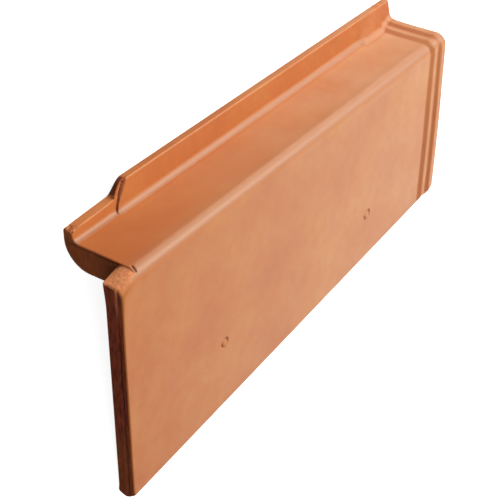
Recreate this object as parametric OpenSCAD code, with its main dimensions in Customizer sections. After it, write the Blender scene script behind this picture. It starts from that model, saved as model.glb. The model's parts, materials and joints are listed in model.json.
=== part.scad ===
// Clay verge tile: a pressed roof-edge tile with a hanging flap, a top flange, an upstand
// rib that is stepped down at one end, and two raised bands round the other end.
// It is drawn upright first (X along the roof slope, Z up, flap face at Y = 0, flange top
// at Z = 0) and then laid down as it rests on a level floor: on the round back of the
// flange and on the deep corner of the flap.

/* [Flap] */
// Length of the tile along the roof slope
tile_len = 420; // [300:1:520]
// Thickness of the hanging flap
flap_t = 14; // [10:0.5:20]
// Depth of the flap below the flange top at the plain end
drop_plain = 182; // [120:0.5:240]
// Depth of the flap below the flange top at the banded end
drop_banded = 152; // [100:0.5:220]
// Radius that softens the two lower edges of the flap
edge_r = 2; // [1:0.25:4]
// Centre of that radius set in from the face, as a share of it
edge_inset_share = 0.9; // [0.8:0.01:0.95]
// Radius of the outer corner between flap and flange
ridge_r = 8.5; // [6:0.5:14]

/* [Flange] */
// Width of the flange from the flap's outer face to its back
flange_w = 60.6; // [45:0.1:90]
// Thickness of the flange and radius of its rounded back
flange_t = 20; // [12:0.5:26]
// Length by which the flange stops short of the flap at the plain end
flange_setback = 16.5; // [5:0.5:40]
// Radius of the inner corner between flap and flange
inner_r = 7; // [2:0.5:12]

/* [Cut shoulder] */
// Depth of the cut shoulder below the flange top at the very end
shoulder_end = 5.8; // [3:0.1:10]
// Depth of the cut shoulder where it meets the flange
shoulder_root = 1.8; // [1:0.1:8]
// Thickness of the outer skin that is pressed back at the end of the flap
skin_t = 5; // [2:0.25:7]
// Length by which that skin is set back at the top
skin_setback = 1.75; // [1:0.25:8]
// Height over which that set-back fades away
skin_fade = 40; // [15:1:80]

/* [Rib] */
// Height of the rib above the flange
rib_h = 18.9; // [12:0.1:30]
// Width of the rib's top
rib_top_w = 6.2; // [4:0.1:12]
// Lean of the rib's front face
rib_draft = 11; // [5:1:25]
// Radius of the rib's top edges
rib_edge_r = 1.5; // [0.5:0.1:2.5]
// Radius of the hollow at the rib's foot
rib_foot_r = 5; // [2:0.25:8]
// Radius of the wider hollow near the banded end
stout_foot_r = 9.5; // [4:0.25:11]
// Length of rib with that wider hollow
stout_len = 53; // [30:1:100]
// Height of the low length of rib at the plain end
low_rib_h = 8.9; // [6:0.1:11]
// Length by which the low rib's front stands back from the tall rib's
low_rib_back = 1.5; // [0.5:0.1:4]
// Distance from the plain end to the foot of the ramp
ramp_from = 61.5; // [30:0.5:120]
// Length of the ramp up to the tall rib
ramp_len = 10.5; // [5:0.5:25]
// Radius that rounds off the top of the tall rib at the banded end
rib_end_r = 6; // [5:0.5:12]
// Length of rib that this rounding takes
rib_end_len = 3; // [1:0.25:4]

/* [Bands] */
// Rise of each of the two bands
band_rise = 2.1; // [1:0.1:3]
// Length of the slope by which each band rises
band_run = 3; // [1:0.1:4]
// Distance from the foot of the inner band to the foot of the outer one
band_inner_w = 9; // [6:0.1:14]
// Distance from the foot of the outer band to the end of the tile
band_outer_w = 9.7; // [6:0.1:14]
// Radius of the outer band's edge at the end of the tile
band_edge_r = 1.3; // [0.4:0.1:2]
// Radius of the bands' corner at body level, as a share of the body's own
band_corner_share = 0.55; // [0.5:0.01:0.9]
// Height of the bands' lower end above the flap's lower edge, at the face
band_end_face = 1.5; // [1.25:0.25:5]
// The same height at the crown of the inner band
band_end_inner = 3.5; // [2:0.25:8]
// The same height at the crown of the outer band
band_end_outer = 8.5; // [4:0.25:14]

/* [Nail marks] */
// Distance of the first nail mark from the plain end
mark_from = 106.5; // [60:0.5:160]
// Spacing of the two nail marks
mark_gap = 201; // [120:0.5:230]
// Depth of the nail marks below the flange top
mark_drop = 116; // [60:0.5:130]
// Radius of the ring that marks where a nail may go through
mark_ring_r = 3.6; // [2:0.1:6]
// Radius of the groove that draws this ring
mark_groove_r = 1.1; // [0.6:0.1:1.8]
// Depth of the groove
mark_depth = 0.9; // [0.3:0.1:1.5]

/* [Hidden] */
$fn = 96;
// clearance by which cutting shapes pass the body
pass = flap_t / 2;
// height of what is taken off below the flap's lower edge
waste_h = drop_plain - drop_banded + 3 * pass;
// slope of the flap's lower edge
edge_slope = atan2(drop_plain - drop_banded, tile_len);
// where the softened lower edges meet the flat faces
edge_inset = edge_r * edge_inset_share;
edge_meet = edge_inset - sqrt(pow(edge_r, 2) - pow(edge_inset, 2));
// foot and top of the tall rib's front face
rib_top_y = flange_w - rib_top_w;
rib_foot_y = rib_top_y - rib_h * tan(rib_draft);
// some rounded forms meet their flat faces at a slight crease: their radius as a share of a
// smooth one
crease_share = 1.02;
// length of the two bands together
bands_w = band_inner_w + band_outer_w;
// corner of the bands at body level, and the depth to which they are rooted in the body
band_corner_r = ridge_r * band_corner_share;
band_root = band_corner_r / 2;
// centre of the flange's rounded back
back_y = flange_w - flange_t;
// angle between the flap and the floor when the tile lies at rest
rest_dy = back_y - flap_t;
rest_dz = drop_plain - edge_meet;
lay = atan2(rest_dy, rest_dz) + asin(flange_t / sqrt(pow(rest_dy, 2) + pow(rest_dz, 2)));
// extents of the tile as it lies
lie_far = sin(lay) * (flange_w - rib_edge_r) + cos(lay) * (rib_h - rib_edge_r) + rib_edge_r;
lie_near = sin(lay) * edge_meet - cos(lay) * drop_plain;
lie_low = -cos(lay) * back_y - flange_t;

// lay a drawn section (Y, Z) along X
module along(len) {
    rotate([90, 0, 90]) linear_extrude(height = len) children();
}

// extrude a side view (X, Z) from Y = from to Y = to
module across(from, to) {
    translate([0, to, 0]) rotate([90, 0, 0]) linear_extrude(height = to - from) children();
}

// corner left over outside a quarter circle whose square sits in the first quadrant
module corner_waste(r) {
    difference() {
        square(r);
        circle(r = r);
    }
}

// corner left over outside the softened edge between the rib's leaning front and its top
module front_waste(r) {
    run = r * tan((90 - rib_draft) / 2);
    difference() {
        polygon([[0, 0], [run, 0], [run, -r], [-run * sin(rib_draft), -run * cos(rib_draft)]]);
        translate([run, -r]) circle(r = r * crease_share);
    }
}

// hollow of a given radius in the corner between the rib's front face and what it stands on
module foot_hollow(foot, r) {
    start = foot - r * tan((90 - rib_draft) / 2);
    reach = r + band_root;
    difference() {
        polygon([
            [start, -band_root], [start, r],
            [start + reach * cos(rib_draft), r - reach * sin(rib_draft)],
            [foot, -band_root]
        ]);
        translate([start, r]) circle(r = r * crease_share);
    }
}

// rib section with a hollow at its foot, front face moved back by a given length
module rib_section(h, back, foot_r) {
    foot = rib_foot_y + back;
    top = foot + h * tan(rib_draft);
    difference() {
        polygon([
            [foot, -band_root], [foot, 0], [top, h], [flange_w, h], [flange_w, 0],
            [flange_w - band_root, -band_root]
        ]);
        translate([top, h]) front_waste(rib_edge_r);
        translate([flange_w - rib_edge_r, h - rib_edge_r]) corner_waste(rib_edge_r);
    }
    foot_hollow(foot, foot_r);
}

// section through flap and flange with the low rib
module main_section() {
    difference() {
        union() {
            translate([0, -drop_plain - pass]) square([flap_t, drop_plain + pass]);
            translate([0, -flange_t]) square([back_y, flange_t]);
            intersection() {
                translate([back_y, 0]) circle(r = flange_t);
                translate([back_y, -flange_t]) square(flange_t);
            }
            translate([flap_t, -flange_t - inner_r]) difference() {
                square(inner_r);
                translate([inner_r, 0]) circle(r = inner_r);
            }
            rib_section(low_rib_h, low_rib_back, rib_foot_r);
        }
        translate([ridge_r, -ridge_r]) mirror([1, 0]) corner_waste(ridge_r);
    }
}

// what is taken off below the sloping lower edge of the flap
module below_edge() {
    translate([0, 0, -drop_plain]) rotate([0, -edge_slope, 0]) translate([-pass, 0, 0])
        along(tile_len + 4 * pass) difference() {
            translate([-pass, -waste_h]) square([flap_t + 2 * pass, waste_h + edge_inset]);
            difference() {
                union() {
                    translate([edge_inset, 0]) square([flap_t - 2 * edge_inset, 2 * edge_inset]);
                    for (y = [edge_inset, flap_t - edge_inset])
                        translate([y, edge_inset]) circle(r = edge_r);
                }
                translate([-pass, -waste_h]) square([flap_t + 2 * pass, waste_h]);
            }
        }
}

// side view of the two bands: each rises by a short slope from the one before
module band_profile() {
    crown = 2 * band_rise;
    polygon([
        [0, -band_root], [0, 0], [band_run, band_rise], [band_inner_w, band_rise],
        [band_inner_w + band_run, crown], [bands_w - band_edge_r, crown],
        [bands_w - band_edge_r, crown - band_edge_r], [bands_w, crown - band_edge_r],
        [bands_w, -band_root]
    ]);
    translate([bands_w - band_edge_r, crown - band_edge_r]) circle(r = band_edge_r);
}

// the bands run from the rib over the flange, round the outer corner and down the flap
module bands() {
    translate([tile_len - bands_w, 0, 0]) {
        across(band_corner_r, rib_top_y) band_profile();
        translate([0, band_corner_r, -band_corner_r]) rotate([0, 90, 0]) rotate([0, 0, 180])
            rotate_extrude(angle = 90) translate([band_corner_r, 0]) mirror([1, -1])
                band_profile();
        difference() {
            translate([0, 0, -band_corner_r]) rotate([180, 0, 0])
                linear_extrude(height = drop_banded - band_corner_r) band_profile();
            translate([-pass, 0, -drop_banded]) along(bands_w + 2 * pass) polygon([
                [pass, -pass], [pass, band_end_face], [0, band_end_face],
                [-band_rise, band_end_inner], [-2 * band_rise, band_end_outer],
                [-pass, band_end_outer], [-pass, -pass]
            ]);
        }
    }
}

// hollows in the corners where the two bands run up to the rib
module band_hollows() {
    for (i = [1, 2]) {
        from = tile_len - bands_w + (i - 1) * band_inner_w + band_run;
        rise = i * band_rise;
        translate([from, 0, rise]) along(tile_len - band_edge_r - from)
            foot_hollow(rib_foot_y + rise * tan(rib_draft), rib_foot_r);
    }
}

// tall rib with its ramp at one end, its wider foot near the other and its softened end
module tall_rib() {
    difference() {
        union() {
            translate([ramp_from, 0, 0]) along(tile_len - ramp_from)
                rib_section(rib_h, 0, rib_foot_r);
            translate([tile_len - stout_len, 0, 0]) along(stout_len)
                foot_hollow(rib_foot_y, stout_foot_r);
            band_hollows();
        }
        across(0, flange_w + pass) polygon([
            [ramp_from - ramp_len, low_rib_h - rib_h + low_rib_h],
            [ramp_from + 2 * ramp_len, 2 * rib_h - low_rib_h],
            [ramp_from - ramp_len, 2 * rib_h]
        ]);
        across(0, flange_w + pass) difference() {
            translate([tile_len - rib_end_len, rib_h - rib_end_r]) square(2 * rib_end_r);
            translate([tile_len - rib_end_len, rib_h - rib_end_r]) circle(r = rib_end_r * crease_share);
        }
    }
}

// the tile as it hangs on a roof edge
module upright() {
    difference() {
        union() {
            difference() {
                along(tile_len) main_section();
                below_edge();
            }
            tall_rib();
            bands();
        }
        translate([-pass, flap_t, -2 * flange_t])
            cube([flange_setback + pass, flange_w, 4 * flange_t]);
        across(-pass, flap_t + pass) polygon([
            [0, -shoulder_end], [flange_setback, -shoulder_root],
            [flange_setback, pass], [-pass, pass], [-pass, -shoulder_end]
        ]);
        across(-pass, skin_t) polygon([
            [-pass, pass], [skin_setback, pass], [skin_setback, -shoulder_end],
            [0, -shoulder_end - skin_fade], [-pass, -shoulder_end - skin_fade]
        ]);
        for (i = [0, 1])
            translate([mark_from + i * mark_gap, mark_depth - mark_groove_r, -mark_drop])
                rotate([90, 0, 0]) rotate_extrude() translate([mark_ring_r, 0])
                    circle(r = mark_groove_r);
    }
}

// the fired tile, lying at rest with its outer face up
module verge_tile() {
    color([0.8, 0.5, 0.34])
        translate([-tile_len / 2, -(lie_far + lie_near) / 2, -lie_low])
            rotate([lay - 90, 0, 0]) upright();
}

verge_tile();
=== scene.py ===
# %% [markdown]
# # A clay verge tile
# A verge tile closes the edge of a tiled roof. Its flap hangs over the roof's side, its flange
# lies on the edge board, and a rib along the flange's back turns the rain away. At one end two
# raised bands go over the plain end of the next tile. It is a single piece of clay that was
# pressed between two moulds, trimmed, dried and fired, so this lesson makes a single mesh and
# spends its effort on the edges, the trimmed ends and the clay's skin.

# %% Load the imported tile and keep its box
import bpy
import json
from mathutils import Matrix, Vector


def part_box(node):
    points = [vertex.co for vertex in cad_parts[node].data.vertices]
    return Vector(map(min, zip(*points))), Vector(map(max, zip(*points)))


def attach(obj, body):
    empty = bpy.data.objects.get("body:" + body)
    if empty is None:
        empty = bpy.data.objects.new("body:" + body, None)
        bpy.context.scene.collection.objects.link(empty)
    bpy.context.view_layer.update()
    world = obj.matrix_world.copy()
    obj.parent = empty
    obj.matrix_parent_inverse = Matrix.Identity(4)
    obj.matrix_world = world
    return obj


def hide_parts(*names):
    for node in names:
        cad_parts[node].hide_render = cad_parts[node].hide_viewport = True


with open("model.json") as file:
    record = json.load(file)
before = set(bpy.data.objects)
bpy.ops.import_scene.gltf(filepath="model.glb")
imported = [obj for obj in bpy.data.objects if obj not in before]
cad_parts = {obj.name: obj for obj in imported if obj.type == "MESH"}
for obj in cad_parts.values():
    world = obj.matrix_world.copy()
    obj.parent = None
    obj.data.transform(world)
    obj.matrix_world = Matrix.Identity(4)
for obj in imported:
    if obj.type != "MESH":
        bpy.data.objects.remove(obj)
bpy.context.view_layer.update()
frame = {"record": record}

# %% Modules
import json
import math

import bpy
import numpy as np
from mathutils import Matrix, Vector, noise
from mathutils.geometry import delaunay_2d_cdt

print("made with Blender", bpy.app.version_string)

# %% [markdown]
# ## A frame for the tile as it hangs
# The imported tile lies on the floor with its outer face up. It is far easier to think of it as it
# hangs on a roof: X along the tile, Y in from the flap's outer face, Z up from the flange's top.
# The record's mount on the back of the flap gives the turn between the two: its axis is the
# flap's own direction. So every size below is in millimetres as on the hanging tile, and one
# function, `place`, takes points to where the tile lies.

# %% From the hanging tile to the lying one
MM = 0.001
packed_low, packed_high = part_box("verge_tile")
TILE_LEN = (packed_high[0] - packed_low[0]) / MM
FLAP_T = 14.0
MOUNT_DROP = 95.0
flap_back = next(m for m in frame["record"]["mounts"] if m["name"] == "flap_back")
lay_sin, lay_cos = flap_back["axis"][1], -flap_back["axis"][2]
turn = np.array(((1, 0, 0), (0, lay_sin, lay_cos), (0, -lay_cos, lay_sin)))
shift = np.array(flap_back["pos_m"]) - turn @ np.array((TILE_LEN / 2, FLAP_T, -MOUNT_DROP)) * MM


def place(points):
    """Points of the hanging tile, in mm, as points of the lying tile, in metres."""
    return np.asarray(points, float) * MM @ turn.T + shift


print("the flap lies", round(math.degrees(math.asin(lay_sin)), 2), "degrees off the floor")

# %% [markdown]
# ## Camera
# The camera's place was found by lining up the tile's long straight edges. It stands in front of
# the plain end and looks down along the tile, close enough for the far end to look clearly
# smaller. A lens of 88 mm on a 36 mm sensor gives that framing with no shift.

# %% Camera at the viewing angle
CAMERA_AT = (-442.8, -393.75, 442.05)
CAMERA_LOOK = (0.6755, 0.4587, -0.5773)
CAMERA_RIGHT = (0.5675, -0.8233, 0.0098)
LENS_MM = 88.32
SENSOR_MM = 36
look = Vector(turn @ np.array(CAMERA_LOOK)).normalized()
right = Vector(turn @ np.array(CAMERA_RIGHT))
right = (right - look * right.dot(look)).normalized()
up = right.cross(look)
camera = bpy.data.objects.new("camera", bpy.data.cameras.new("camera"))
bpy.context.scene.collection.objects.link(camera)
axes = Matrix((right, up, -look)).transposed().to_4x4()
camera.matrix_world = Matrix.Translation(place(CAMERA_AT)) @ axes
camera.data.sensor_fit = "HORIZONTAL"
camera.data.sensor_width = SENSOR_MM
camera.data.lens = LENS_MM
bpy.context.scene.camera = camera
print("camera looks down by", round(math.degrees(math.asin(-look.z)), 1), "degrees")

# %% [markdown]
# ## Sections of the tile
# A pressed tile is nearly the same all along: take one cross-section, carry it along the length
# and let a few of its sizes change on the way. Blender could sweep a curve, or start from the
# imported solid and bevel its edges, but a loft whose sections are set one by one gives even quads,
# rounded edges wherever clay has them, and points just where the fine marks need them. The section
# is walked once round, from the flap's lower edge up its face, over the ridge and the rib, and back
# down the inside. Each stretch always has the same number of points, so any two sections can be joined.

# %% Stretches of a section
STEP_SAMPLES = 9


def line(start, end, count):
    """Points from start towards end, without the end itself."""
    steps = np.linspace(0, 1, count, endpoint=False)[:, None]
    return np.array(start) + steps * (np.array(end) - np.array(start))


def arc(centre, radius, from_deg, to_deg, count):
    """Points along an arc, without its end."""
    angles = np.radians(np.linspace(from_deg, to_deg, count, endpoint=False))
    return np.array(centre) + radius * np.column_stack((np.cos(angles), np.sin(angles)))


def bezier(points, count):
    """Points along a curve with two handles, without its end."""
    t = np.linspace(0, 1, count, endpoint=False)[:, None]
    a, b, c, d = (np.array(p) for p in points)
    return a * (1 - t) ** 3 + 3 * b * t * (1 - t) ** 2 + 3 * c * t ** 2 * (1 - t) + d * t ** 3


def soft_steps(x, places, heights, blur):
    """Straight steps along the tile with their corners rounded over a short length."""
    return float(np.mean(np.interp(x + np.linspace(-blur, blur, STEP_SAMPLES), places, heights)))


def ease(t):
    """Smooth step from 0 to 1."""
    t = np.clip(t, 0, 1)
    return t * t * (3 - 2 * t)


print("a quarter arc in three points:", arc((0, 0), 1, 0, 90, 3).round(2).tolist())

# %% [markdown]
# ## Sizes that change along the tile
# Four things change on the way from the plain end to the banded one: the flap's lower edge rises,
# the rib climbs from its low length to its full height, its foot grows stouter, and the two bands
# step up at the end. Each is a small function of x, and each step is softened, because pressed
# clay has no knife-sharp corners.

# %% Sizes of flap and flange, in mm
DROP_PLAIN = 182.7
DROP_BANDED = 152.4
BACK_TAPER = 0.2
EDGE_R = 2.0
RIDGE_R = 8.5
FLANGE_W = 60.6
FLANGE_T = 20.0
FLANGE_START = 16.5
INNER_R = 7.0
BACK_Y = FLANGE_W - FLANGE_T
WORN_FROM_END = (7.0, 11.0, 16.0, 19.0)
WORN_BY = (0.0, 1.5, 1.5, 0.0)


def flap_low(x):
    """Height of the flap's lower edge, which is worn a little under the bands."""
    worn = np.interp(TILE_LEN - x, WORN_FROM_END, WORN_BY)
    return -DROP_PLAIN + (DROP_PLAIN - DROP_BANDED) * x / TILE_LEN + worn


print("the flap hangs down, mm:", [round(float(-flap_low(x)), 1) for x in (0, TILE_LEN / 2, TILE_LEN)])

# %% Sizes of the rib, in mm
RIB_H = 18.9
RIB_TOP_W = 6.2
RIB_LEAN = 11.0
RIB_FRONT_EDGE_R = 1.2
RIB_BACK_EDGE_R = 1.5
LEAN = math.tan(math.radians(RIB_LEAN))
RIB_FOOT_Y = FLANGE_W - RIB_TOP_W - RIB_H * LEAN
# Places along the rib and its height there, at the front and at the back edge of its top
RAMP_FRONT = ((FLANGE_START, 32.0, 46.0, 54.2, 58.6, 61.0, 63.2, 66.0, 69.5),
              (7.5, 8.2, 8.6, 8.9, 9.6, 13.0, 15.7, 17.9, RIB_H))
RAMP_BACK = ((FLANGE_START, 28.5, 43.4, 59.6, 62.3, 64.6, 66.5, 69.6, 72.5),
             (7.9, 8.6, 9.3, 9.9, 11.5, 13.6, 15.4, 17.9, RIB_H))
RAMP_BLUR = 0.9
# Heights up the rib's front, and where the step from its low to its tall length lies there
RIB_STEP = ((0, 5.5, 10.9, 14.7, 17.1, RIB_H), (57.6, 60.6, 64.3, 67.6, 70.2, 72.8))
RIB_STEP_DEPTH = 1.3
RIB_STEP_RUN = 0.7
CREVICE_DEPTH = 2.3
CREVICE_HALF_W = 0.75
CREVICE_LOW, CREVICE_LOW_FADE = 8.5, 3.0
CREVICE_HIGH, CREVICE_HIGH_FADE = 17.8, 1.5


def rib_heights(x):
    """Height of the rib's top at its front and back edges; the ramp between them is a little skew."""
    return soft_steps(x, *RAMP_FRONT, RAMP_BLUR), soft_steps(x, *RAMP_BACK, RAMP_BLUR)


def rib_setback(x, z):
    """How far the rib's front stands back at the low length, ending in a slanting step with a crevice."""
    past = x - np.interp(z, *RIB_STEP)
    crevice = CREVICE_DEPTH * np.exp(-(past / CREVICE_HALF_W) ** 2)
    crevice *= ease((z - CREVICE_LOW) / CREVICE_LOW_FADE) * ease((CREVICE_HIGH - z) / CREVICE_HIGH_FADE)
    return RIB_STEP_DEPTH * (1 - ease(past / RIB_STEP_RUN + 0.5)) + crevice


print("rib height, low and tall, mm:", [round(rib_heights(x)[0], 1) for x in (FLANGE_START, TILE_LEN)])

# %% Sizes of the rib's foot and of the bands, in mm
FOOT_PLACES, FOOT_RADII = (59.0, 62.0), (4.0, 5.0)
# Near the bands the foot is stouter; its start slants back as it goes up
STOUT_FROM, STOUT_RUN, STOUT_SPREAD = TILE_LEN - 56.0, 5.0, 1.8
STOUT_END, STOUT_LEFT, STOUT_BLUR = (TILE_LEN - 20.0, TILE_LEN - 15.0), (1.0, 0.18), 2.0
STOUT_OUT, STOUT_H = 3.4, 18.0
BAND_PLACES = (TILE_LEN - 21.0, TILE_LEN - 16.2, TILE_LEN - 11.0, TILE_LEN - 6.9)
BAND_RISE = 2.1
BAND_HEIGHTS = (0, BAND_RISE, BAND_RISE, 2 * BAND_RISE)
BAND_BLUR = 1.0
# Shares of the bands' height that are left on the flange and at the outer corner
BAND_ON_FLANGE = 0.88
BAND_AT_CORNER = 0.78
BAND_FULL_AT = -70.0
BAND_CORNER_R = 5.6
# How far above the flap's lower edge the bands end; the outer one ends higher towards the tile's end
BAND_END_ABOVE = (1.8, 3.4, 4.8, 6.6)
BAND_END_LIFT, BAND_END_RUN = 2.5, 7.0


def band_height(x):
    """How far the bands stand proud of the body."""
    return soft_steps(x, BAND_PLACES, BAND_HEIGHTS, BAND_BLUR)


def ridge_radius(band):
    """Radius of the outer corner; the bands turn it more tightly than the body does."""
    return RIDGE_R + (BAND_CORNER_R + band - RIDGE_R) * min(band / BAND_RISE, 1)


print("band heights at the end, mm:", [round(band_height(TILE_LEN - d), 2) for d in (20, 17, 12, 8, 4)])

# %% [markdown]
# ## The whole section at one place
# `full_section` gives all stretches at a place x. With `inset` the whole outline moves inwards by
# that much: flats shift, and arcs keep their centres and change their radius. That is all it takes
# to round the edge of an end face later: a few sections, each a bit larger than the one before.

# %% Flap in a section
MARK_DROP = 116.0
MARK_REACH = 6.5
# Heights on the flap's face, each with the number of points from the height before it
FLAP_BANDS = ((-136.0, 14), (-MARK_DROP - MARK_REACH, 6), (-MARK_DROP + MARK_REACH, 26), (-32.0, 26))
FLAP_TOP_COUNT = 10


def flap_levels(low, high):
    """Heights of the points up the flap's face, close together where the nail marks are."""
    stops = [low] + [z for z, _ in FLAP_BANDS] + [high]
    counts = [n for _, n in FLAP_BANDS] + [FLAP_TOP_COUNT]
    return np.concatenate([np.linspace(a, b, n, endpoint=False)
                           for a, b, n in zip(stops, stops[1:], counts)])


def flap_stretches(x, inset):
    """The stretches of the flap below the flange, which both kinds of section share."""
    low, back = flap_low(x), FLAP_T - BACK_TAPER
    return {
        "flap_back": line((FLAP_T - inset, -FLANGE_T - INNER_R), (back - inset, low + EDGE_R), 56),
        "back_edge": arc((back - EDGE_R, low + EDGE_R), EDGE_R - inset, 0, -90, 5),
        "lower_edge": line((back - EDGE_R, low + inset), (EDGE_R, low + inset), 5),
        "face_edge": arc((EDGE_R, low + EDGE_R), EDGE_R - inset, -90, -180, 5),
    }


print("points up the flap's face:", len(flap_levels(-DROP_PLAIN, -RIDGE_R)))

# %% Rib in a section
# Towards the flange the rib's step fades out over this height, from this far into the fade
STEP_FADE, STEP_FADE_FROM = 1.5, 0.4


def rib_stretches(x, band, inset):
    """Foot, front, top and back of the rib at a place x."""
    front_h, back_h = rib_heights(x)
    foot_r = float(np.interp(x, FOOT_PLACES, FOOT_RADII))
    foot = RIB_FOOT_Y + band * LEAN
    corner_tan = math.tan(math.radians((90 - RIB_LEAN) / 2))
    lean_dir = np.array((math.sin(math.radians(RIB_LEAN)), math.cos(math.radians(RIB_LEAN))))
    out_dir = np.array((lean_dir[1], -lean_dir[0]))
    foot_centre = np.array((foot - foot_r * corner_tan, band + foot_r))
    corner = np.array((RIB_FOOT_Y + front_h * LEAN, front_h))
    edge_centre = corner - RIB_FRONT_EDGE_R * corner_tan * lean_dir + RIB_FRONT_EDGE_R * out_dir
    front_from = foot_centre + (foot_r + inset) * out_dir
    front_to = edge_centre - (RIB_FRONT_EDGE_R - inset) * out_dir
    back_centre = np.array((FLANGE_W - RIB_BACK_EDGE_R, back_h - RIB_BACK_EDGE_R))
    top_from = edge_centre + (0, RIB_FRONT_EDGE_R - inset)
    top_to = back_centre + (0, RIB_BACK_EDGE_R - inset)
    stretches = {
        "foot": arc(foot_centre, foot_r + inset, -90, -RIB_LEAN, 12),
        "rib_front": line(front_from, front_to, 12),
        "rib_front_edge": arc(edge_centre, RIB_FRONT_EDGE_R - inset, 180 - RIB_LEAN, 90, 6),
        "rib_top": line(top_from, top_to, 5),
        "rib_back_edge": arc(back_centre, RIB_BACK_EDGE_R - inset, 90, 0, 6),
        "rib_back": line((FLANGE_W - inset, back_h - RIB_BACK_EDGE_R), (FLANGE_W - inset, 0), 7),
    }
    stout = STOUT_OUT * soft_steps(x, STOUT_END, STOUT_LEFT, STOUT_BLUR)
    for name in ("foot", "rib_front", "rib_front_edge"):
        above = stretches[name][:, 1] - band
        setback = rib_setback(x, stretches[name][:, 1]) * ease(above / STEP_FADE + STEP_FADE_FROM)
        stretches[name][:, 0] += setback
        grown = ease((x - STOUT_FROM) / (STOUT_RUN + STOUT_SPREAD * np.maximum(above, 0)))
        stretches[name][:, 0] -= stout * grown * np.clip(1 - above / STOUT_H, 0, 1)
    return stretches


print("points over the rib:", sum(len(run) for run in rib_stretches(TILE_LEN / 2, 0.0, 0.0).values()))

# %% Full section
RIDGE_SPLIT_DEG = 135.0
# Which of the heights where the bands end belong to the outer band
OUTER_BAND = np.array((0, 0, 1, 1))


def full_section(x, inset=0.0):
    """All stretches of the section through flap, flange and rib at a place x."""
    low = flap_low(x)
    band = band_height(x)
    on_flange = band * BAND_ON_FLANGE
    radius = ridge_radius(band)
    centre = (radius - band * BAND_AT_CORNER, on_flange - radius)
    levels = flap_levels(low + EDGE_R, centre[1])
    lift = BAND_END_LIFT * ease((x - TILE_LEN + BAND_END_RUN) / BAND_END_RUN)
    proud = np.minimum(band, np.interp(levels - low, BAND_END_ABOVE + OUTER_BAND * lift, BAND_HEIGHTS))
    proud = proud * np.interp(levels, (BAND_FULL_AT, centre[1]), (1, BAND_AT_CORNER))
    rib = rib_stretches(x, on_flange, inset)
    return {
        "flap_face": np.column_stack((inset - proud, levels)),
        "ridge_low": arc(centre, radius - inset, 180, RIDGE_SPLIT_DEG, 10),
        "ridge_high": arc(centre, radius - inset, RIDGE_SPLIT_DEG, 90, 10),
        "flange_top": line((centre[0], on_flange - inset), rib["foot"][0], 18),
        **rib,
        "round_back": arc((BACK_Y, 0), FLANGE_T - inset, 0, -90, 18),
        "underside": line((BACK_Y, inset - FLANGE_T), (FLAP_T + INNER_R, inset - FLANGE_T), 8),
        "inner_corner": arc((FLAP_T + INNER_R, -FLANGE_T - INNER_R), INNER_R + inset, 90, 180, 10),
        **flap_stretches(x, inset),
    }


sample = full_section(TILE_LEN / 2)
COUNTS = {name: len(points) for name, points in sample.items()}
AROUND = sum(COUNTS.values())
stretch_of = np.repeat(list(COUNTS), list(COUNTS.values()))
print("points round a section:", AROUND)

# %% [markdown]
# ## The trimmed shoulder
# At the plain end the flange stops short and only the flap goes on, with its top trimmed to a
# sloping shoulder, so that the next tile's bands can go over it. Here the outline has the same
# stretches as a full section, but those of the flange are drawn together: its top lies along the
# trimmed facet and its underside along the flap's inner face. The pressed corner outside the
# facet rolls over towards the end, so its arc grows wider there; the rim where it meets the facet
# is given by a few places read off along it.

# %% Sections through the shoulder
SHOULDER_STRETCHES = ("ridge_high", "flange_top", "foot", "rib_front")
INSIDE_STRETCHES = ("rib_front_edge", "rib_top", "rib_back_edge", "rib_back", "round_back",
                    "underside", "inner_corner")
SHOULDER_COUNT = sum(COUNTS[name] for name in SHOULDER_STRETCHES)
INSIDE_COUNT = sum(COUNTS[name] for name in INSIDE_STRETCHES)
RIDGE_DIP = RIDGE_R * (1 - math.sqrt(0.5))
RIM_X = (0, 1.5, 3.1, 4.7, 6.6, 8.4, 10.1, 13.0, FLANGE_START)
RIM_Y = (5.4, 5.0, 4.5, 4.0, 3.4, 3.0, 2.8, 2.6, RIDGE_DIP)
RIM_Z = (-6.0, -5.5, -5.0, -4.5, -4.0, -3.5, -3.1, -2.75, -RIDGE_DIP)
INNER_END, INNER_ROOT = np.array((15.3, -5.5)), np.array((16.6, -3.2))
HANDLES_END = np.array(((7.8, -6.1), (11.0, -5.6)))
HANDLES_ROOT = np.array(((5.0, -0.7), (11.3, 0.9)))
INNER_FACE_DOWN, INNER_FACE_UP = (0, -4.0), (0, 9.0)
ROUND_END_DEG, ROUND_ROOT_DEG = 66.0, 45.0
ROLL = 0.5
ROLL_LEN = 4.0
ROLL_FADE = 28.0


def share_out(points, names):
    """A run of points cut up among several stretches."""
    cuts = np.cumsum([COUNTS[name] for name in names])[:-1]
    return dict(zip(names, np.split(points, cuts)))


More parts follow.
